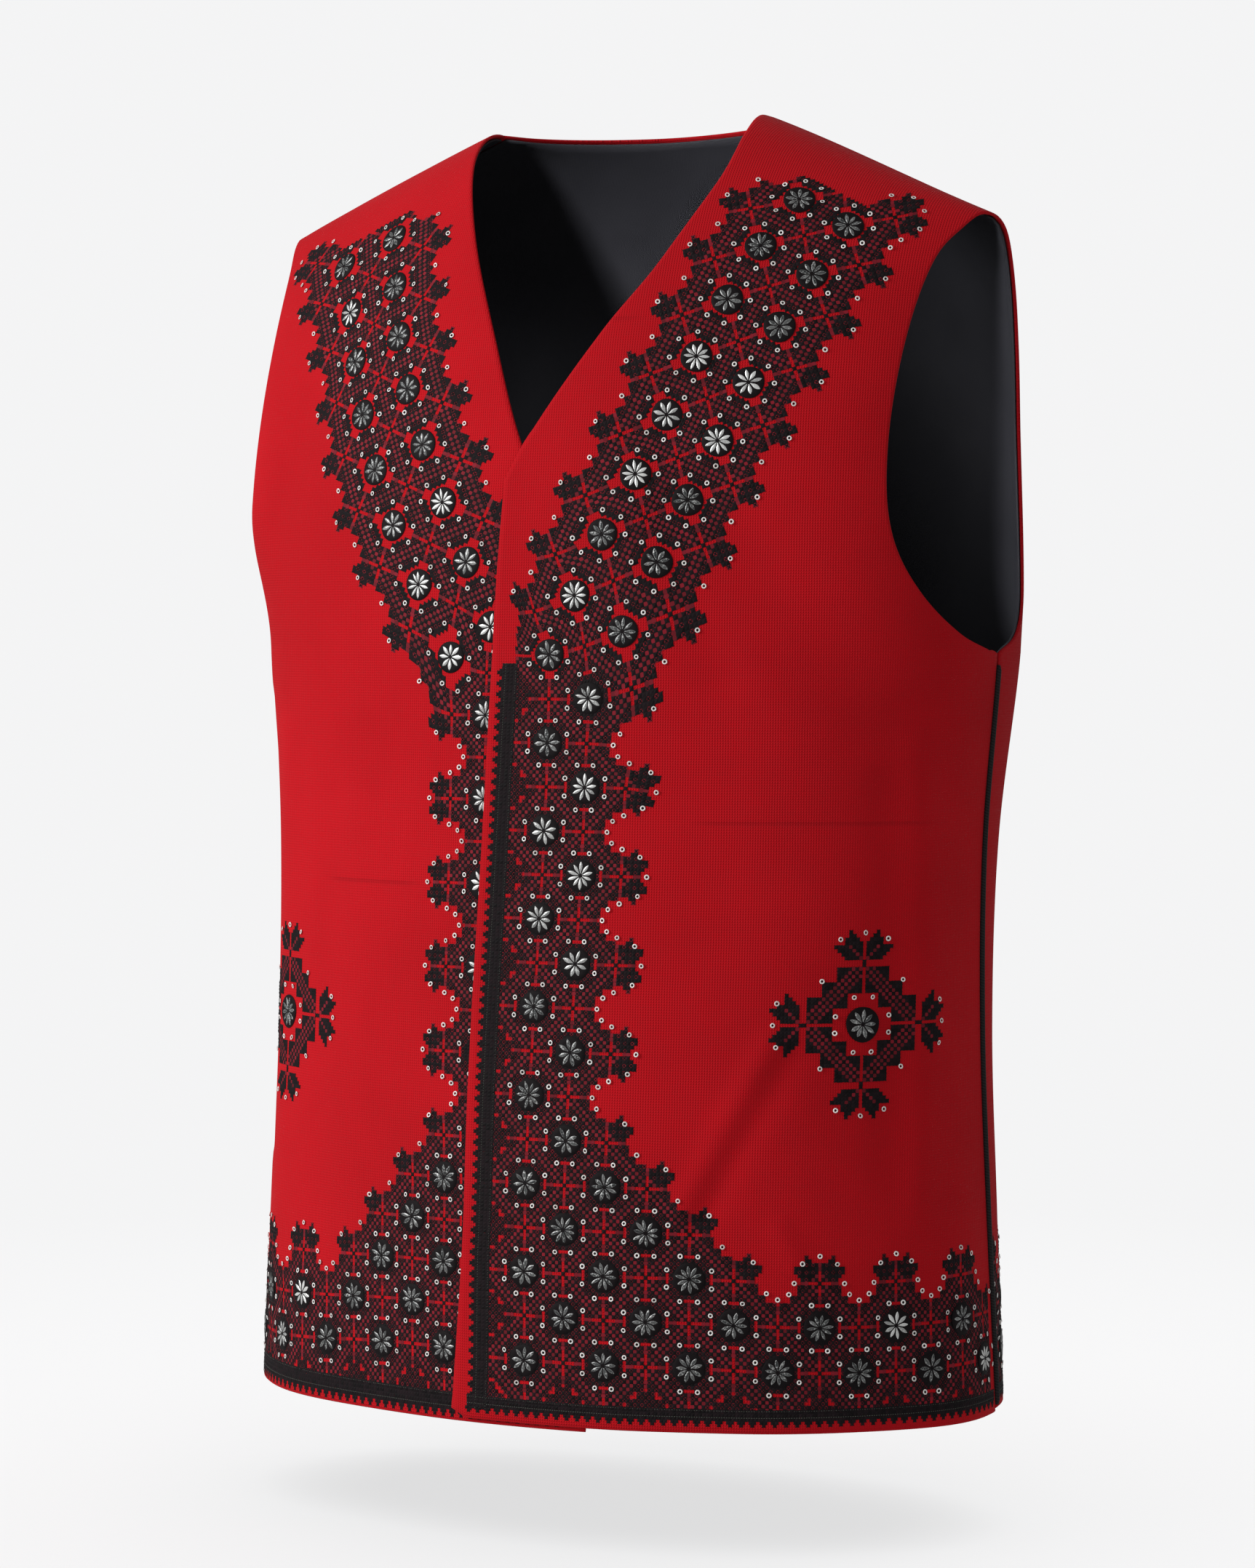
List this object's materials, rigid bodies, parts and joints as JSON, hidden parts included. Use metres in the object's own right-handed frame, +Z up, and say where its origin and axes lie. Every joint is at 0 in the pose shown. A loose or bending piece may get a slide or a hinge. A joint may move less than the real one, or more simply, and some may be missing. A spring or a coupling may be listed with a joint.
{
  "type": "embroidered vest",
  "caption": "Sleeveless hip-length folk vest with a V neck, lapped front, black lining and cross-stitch bands with sequins, shown hollow as worn.",
  "frame": {"origin": "on the midline between the shoulder seams, at the height of their neck ends, where the wearer's shoulders hold the vest", "axes": "+Z up, front towards -Y, wearer's left towards +X"},
  "size_m": [0.4034, 0.2817, 0.6499],
  "materials": {
    "left_front": "matte plain-weave cloth, red",
    "right_front": "matte plain-weave cloth, red",
    "back": "matte plain-weave cloth, red",
    "left_front_lining": "smooth black lining cloth",
    "right_front_lining": "smooth black lining cloth",
    "back_lining": "smooth black lining cloth",
    "left_side_piping": "black cord",
    "right_side_piping": "black cord"
  },
  "bodies": {
    "root": {"left_front": "left_front", "right_front": "right_front", "back": "back", "left_front_lining": "left_front_lining", "right_front_lining": "right_front_lining", "back_lining": "back_lining", "left_side_piping": "left_side_piping", "right_side_piping": "right_side_piping"}
  },
  "joints": []
}
